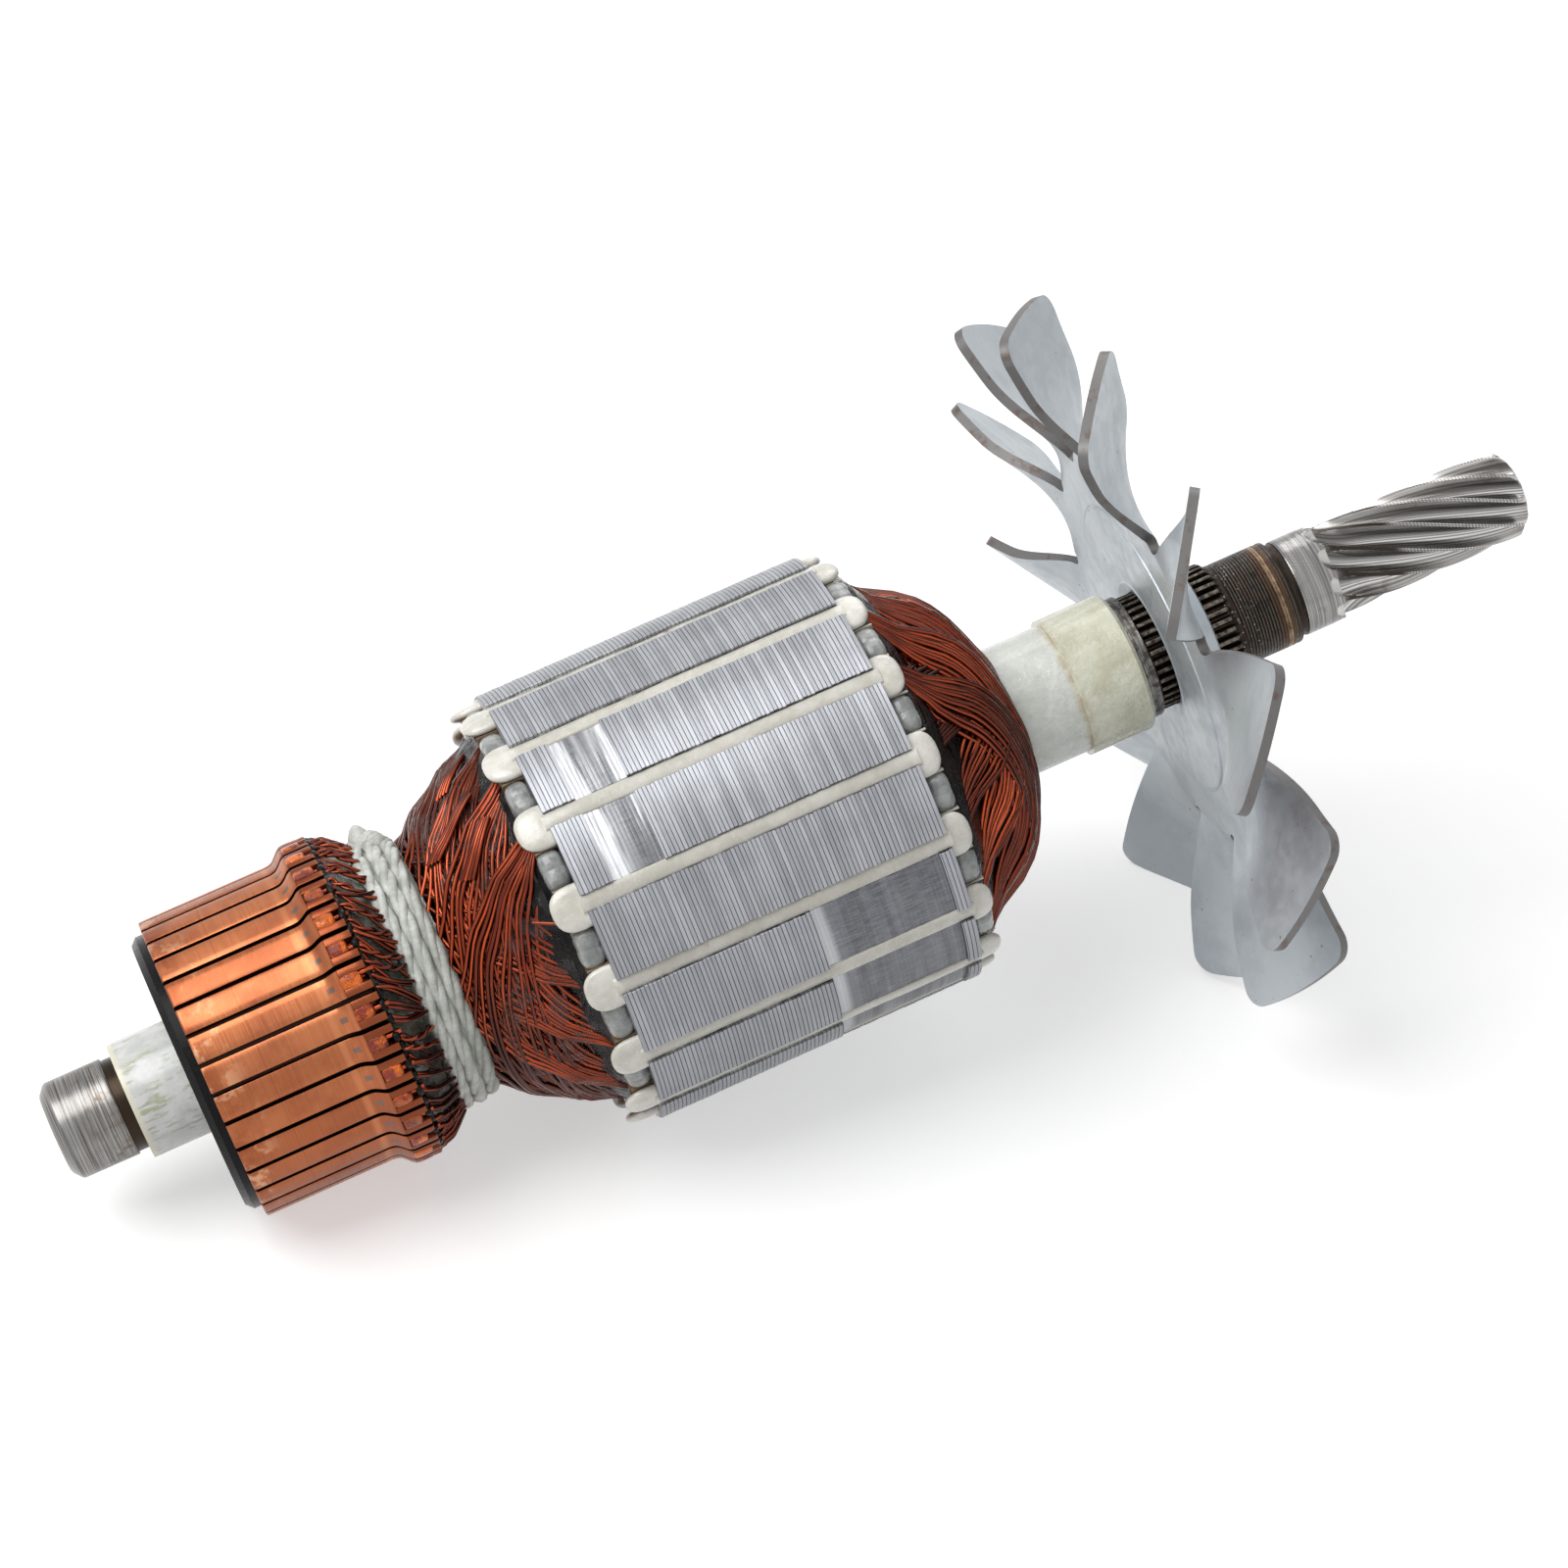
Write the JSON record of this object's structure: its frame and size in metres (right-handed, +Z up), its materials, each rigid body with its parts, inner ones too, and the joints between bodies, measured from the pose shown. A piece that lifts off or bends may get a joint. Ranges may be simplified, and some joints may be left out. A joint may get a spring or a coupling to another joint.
{
  "type": "motor armature",
  "caption": "Wound armature of a portable tool motor: slotted laminated core, copper commutator, sheet fan and a shaft ending in a helical pinion.",
  "frame": {"origin": "centre of the bounding box's bottom, on the surface it lies on", "axes": "+X along the length from the commutator to the pinion, +Z up; the shaft rises towards +X because the fan is wider than the commutator"},
  "size_m": [0.1876, 0.0886, 0.0877],
  "materials": {
    "ground_steel": "ground",
    "glass_fibre_tube": "varnished",
    "moulded_tube": "varnished",
    "black_moulding": "moulded",
    "copper": "turned",
    "resin_cone": "resin coated",
    "resin_twine": "resin soaked",
    "enamelled_wire": "enamelled and varnished",
    "end_board": "varnished",
    "lamination_steel": "turned",
    "slot_lining": "varnished",
    "wedge_board": "varnished",
    "zinc_sheet": "zinc plated"
  },
  "bodies": {
    "root": {"shaft": "ground_steel", "commutator_end_tube": "glass_fibre_tube", "fan_end_tube": "moulded_tube", "commutator_hub": "black_moulding", "commutator_bar_01": "copper", "commutator_bar_02": "copper", "commutator_bar_03": "copper", "commutator_bar_04": "copper", "commutator_bar_05": "copper", "commutator_bar_06": "copper", "commutator_bar_07": "copper", "commutator_bar_08": "copper", "commutator_bar_09": "copper", "commutator_bar_10": "copper", "commutator_bar_11": "copper", "commutator_bar_12": "copper", "commutator_bar_13": "copper", "commutator_bar_14": "copper", "commutator_bar_15": "copper", "commutator_bar_16": "copper", "commutator_bar_17": "copper", "commutator_bar_18": "copper", "commutator_bar_19": "copper", "commutator_bar_20": "copper", "commutator_bar_21": "copper", "commutator_bar_22": "copper", "commutator_bar_23": "copper", "commutator_bar_24": "copper", "commutator_bar_25": "copper", "commutator_bar_26": "copper", "commutator_bar_27": "copper", "commutator_bar_28": "copper", "commutator_bar_29": "copper", "commutator_bar_30": "copper", "commutator_bar_31": "copper", "commutator_bar_32": "copper", "lead_wires": "resin_cone", "twine_band": "resin_twine", "armature_winding": "enamelled_wire", "commutator_end_insulator": "end_board", "fan_end_insulator": "end_board", "laminated_core": "lamination_steel", "slot_liners": "slot_lining", "slot_wedge_01": "wedge_board", "slot_wedge_02": "wedge_board", "slot_wedge_03": "wedge_board", "slot_wedge_04": "wedge_board", "slot_wedge_05": "wedge_board", "slot_wedge_06": "wedge_board", "slot_wedge_07": "wedge_board", "slot_wedge_08": "wedge_board", "slot_wedge_09": "wedge_board", "slot_wedge_10": "wedge_board", "slot_wedge_11": "wedge_board", "slot_wedge_12": "wedge_board", "slot_wedge_13": "wedge_board", "slot_wedge_14": "wedge_board", "slot_wedge_15": "wedge_board", "slot_wedge_16": "wedge_board", "fan": "zinc_sheet"}
  },
  "joints": []
}
